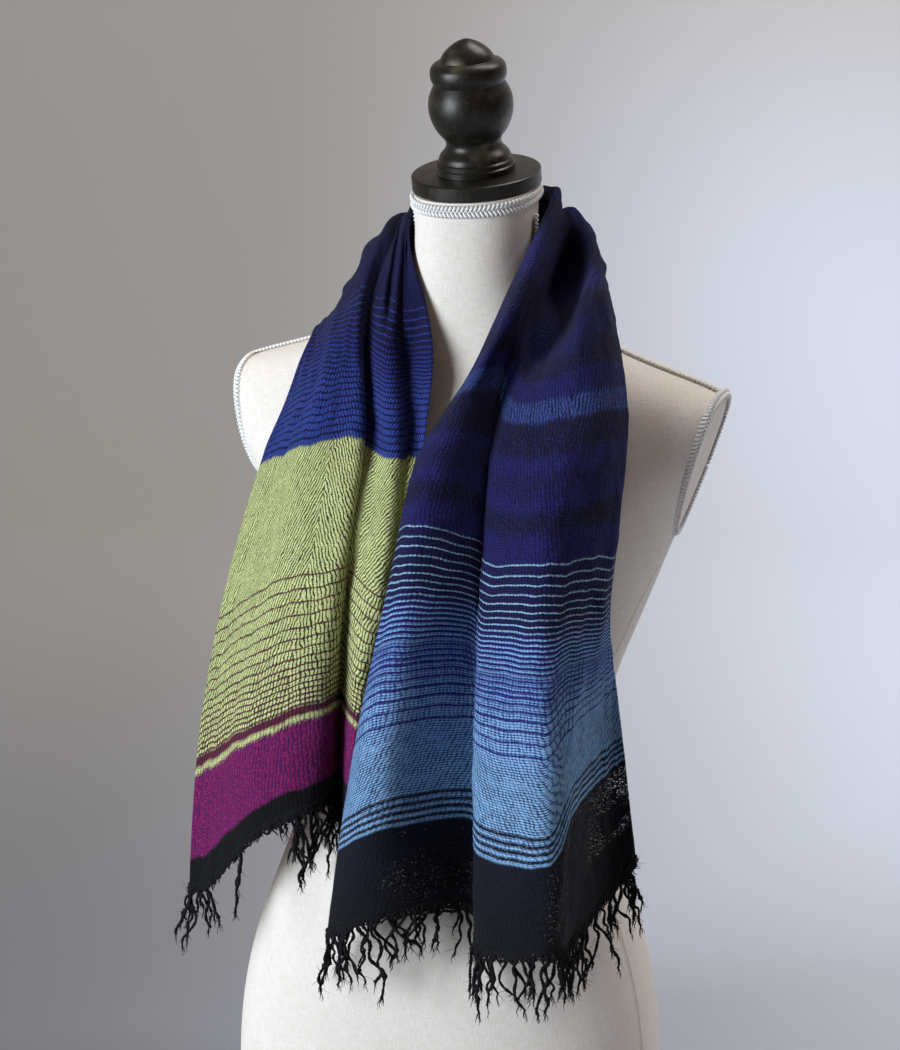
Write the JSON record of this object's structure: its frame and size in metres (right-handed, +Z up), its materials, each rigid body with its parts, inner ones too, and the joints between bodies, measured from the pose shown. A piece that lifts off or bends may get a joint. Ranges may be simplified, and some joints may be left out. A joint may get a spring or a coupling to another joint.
{
  "type": "woven shawl on a dress form",
  "caption": "Narrow fringed shawl draped round the neck of a limbless linen dress form, a green fall and a blue fall hanging in front.",
  "frame": {"origin": "middle of the whole part's bounding box, on the form's flat base", "axes": "+X towards the wearer's left (the blue fall), +Y to the back, +Z up through the finial"},
  "size_m": [0.4134, 0.2869, 0.908],
  "materials": {
    "shawl_green": "soft wool twill, yellow-green with maroon lines and a purple end, royal blue above",
    "shawl_royal": "soft wool weave, royal blue with fine dark rows",
    "shawl_blue": "felted indigo to light blue graded stripes with an open black end",
    "fringe_black": "twisted black wool yarn",
    "form_linen": "cream linen stretched on the form",
    "braid_white": "white gimp braid",
    "dark_bronze": "turned wood painted dark bronze, satin"
  },
  "bodies": {
    "root": {"shawl_green_fall": "shawl_green", "shawl_neck": "shawl_royal", "shawl_blue_fall": "shawl_blue", "fringe_green": "fringe_black", "fringe_blue": "fringe_black", "form_torso": "form_linen", "form_neck_cap": "dark_bronze", "form_finial": "dark_bronze", "neck_braid": "braid_white", "arm_braid_right": "braid_white", "arm_braid_left": "braid_white", "shoulder_braid_right": "braid_white", "shoulder_braid_left": "braid_white"}
  },
  "joints": []
}
